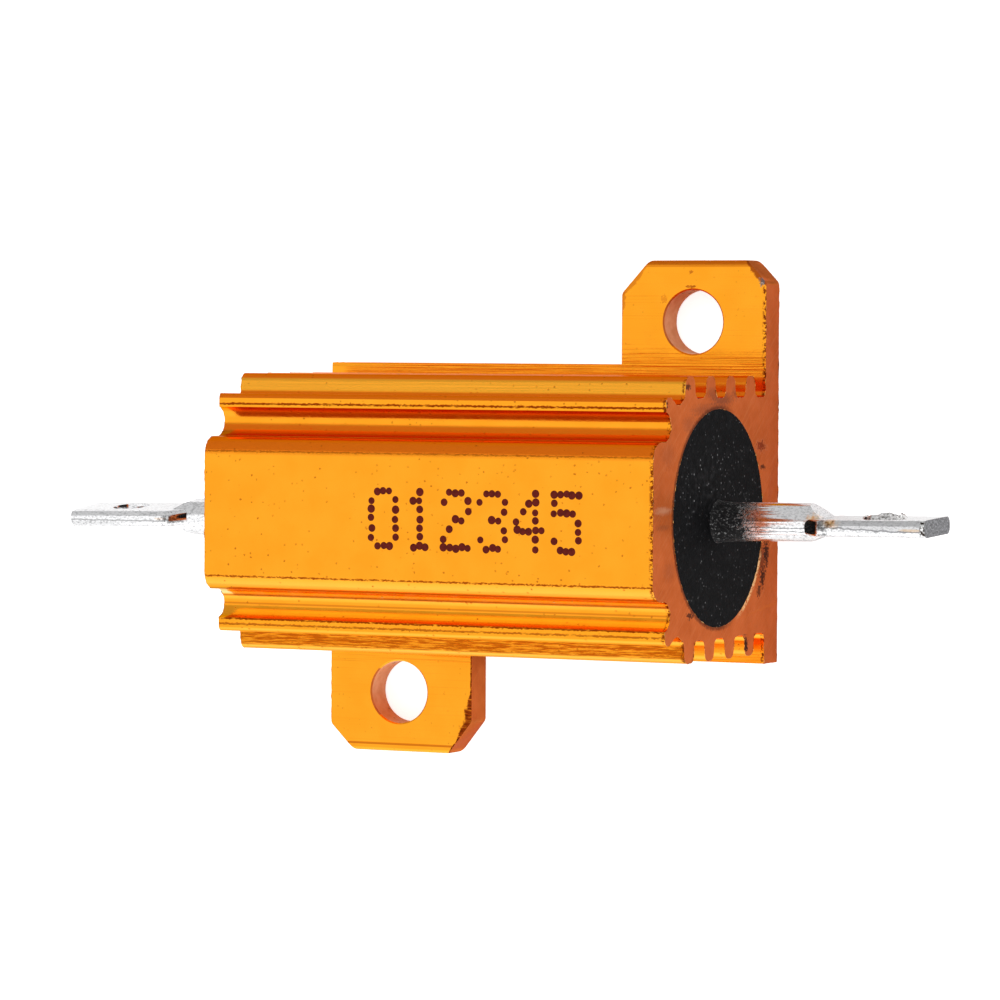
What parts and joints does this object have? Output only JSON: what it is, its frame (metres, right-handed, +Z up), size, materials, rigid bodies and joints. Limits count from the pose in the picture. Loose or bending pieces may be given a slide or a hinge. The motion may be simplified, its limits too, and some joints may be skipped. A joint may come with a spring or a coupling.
{
  "type": "aluminium housed power resistor",
  "caption": "Wirewound resistor potted in a finned gold anodised aluminium housing with two diagonal fixing ears and a pierced lug terminal at each end.",
  "frame": {"origin": "middle of the mounting base, on its underside", "axes": "+X along the body and terminals, +Y across the body to the ear at the +X end, +Z up from the base to the flat top"},
  "size_m": [0.053, 0.0284, 0.0166],
  "materials": {
    "gold_anodised_aluminium": "satin anodised",
    "black_compound": "matte, finely grained",
    "white_ceramic": "matte",
    "resistance_wire": "dull drawn wire",
    "plated_cap": "nickel plated",
    "tinned_pin": "bright tin"
  },
  "bodies": {
    "root": {"housing": "gold_anodised_aluminium", "potting_compound": "black_compound", "ceramic_core": "white_ceramic", "resistance_winding": "resistance_wire", "end_cap_right": "plated_cap", "end_cap_left": "plated_cap", "terminal_right": "tinned_pin", "terminal_left": "tinned_pin"}
  },
  "joints": []
}
